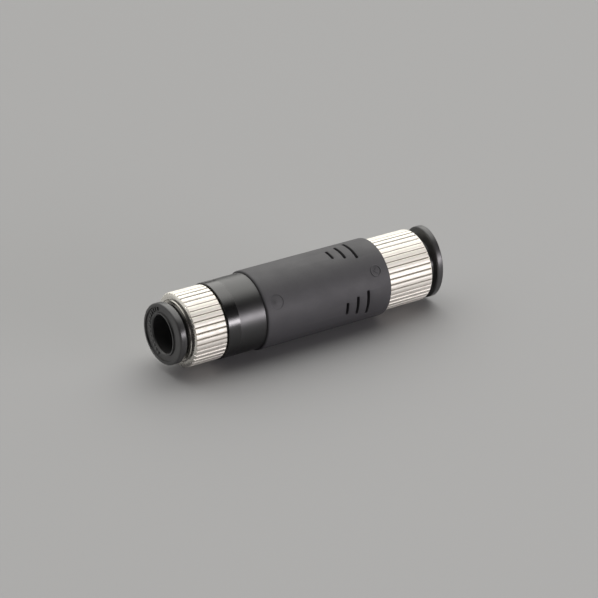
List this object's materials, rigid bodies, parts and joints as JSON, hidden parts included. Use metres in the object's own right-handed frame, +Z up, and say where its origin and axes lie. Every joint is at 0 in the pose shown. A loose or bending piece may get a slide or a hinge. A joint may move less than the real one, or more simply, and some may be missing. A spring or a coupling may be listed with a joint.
{
  "type": "in-line vacuum ejector",
  "caption": "Slim in-line vacuum ejector: knurled push-in tube ports on both ends, a nozzle and diffuser inside, exhaust slots round the cover.",
  "frame": {"origin": "on the axis, midway between the faces of the two release rings", "axes": "+X along the axis from the supply port to the vacuum port, +Z up; the ejector lies level"},
  "size_m": [0.0502, 0.013, 0.013],
  "materials": {
    "release_ring_resin": "satin black moulded acetal",
    "guide_brass": "nickel-plated turned brass",
    "claw_steel": "pressed stainless spring steel",
    "seal_rubber": "matt black nitrile rubber",
    "o_ring_rubber": "matt black nitrile rubber",
    "knurled_nickel": "bright nickel-plated brass with a straight knurl",
    "gloss_resin": "polished black moulded PBT",
    "cover_resin": "fine matt texture, charcoal moulded PBT",
    "inner_resin": "plain moulded PBT",
    "silencer_felt": "dark porous felt",
    "nozzle_brass": "turned brass",
    "diffuser_brass": "turned brass"
  },
  "bodies": {
    "housing": {"guide_ring_supply": "guide_brass", "lock_claws_supply": "claw_steel", "elastic_seal_supply": "seal_rubber", "sleeve_supply": "knurled_nickel", "sleeve_o_ring_supply": "o_ring_rubber", "supply_body": "gloss_resin", "nozzle": "nozzle_brass", "nozzle_o_ring": "o_ring_rubber", "diffuser": "diffuser_brass", "diffuser_o_ring": "o_ring_rubber", "inner_body": "inner_resin", "core_o_ring_front": "o_ring_rubber", "core_o_ring_rear": "o_ring_rubber", "silencer_ring": "silencer_felt", "exhaust_cover": "cover_resin", "sleeve_o_ring_vacuum": "o_ring_rubber", "sleeve_vacuum": "knurled_nickel", "elastic_seal_vacuum": "seal_rubber", "lock_claws_vacuum": "claw_steel", "guide_ring_vacuum": "guide_brass"},
    "supply_release": {"release_ring_supply": "release_ring_resin"},
    "vacuum_release": {"release_ring_vacuum": "release_ring_resin"}
  },
  "joints": [
    {"name": "supply_release_slide", "type": "slide", "parent": "housing", "child": "supply_release", "axis": [1, 0, 0], "range_m": [0, 0.0009], "stiffness_N_per_m": 60, "springref_m": -0.0005},
    {"name": "vacuum_release_slide", "type": "slide", "parent": "housing", "child": "vacuum_release", "axis": [-1, 0, 0], "range_m": [0, 0.0009], "stiffness_N_per_m": 60, "springref_m": -0.0005}
  ]
}
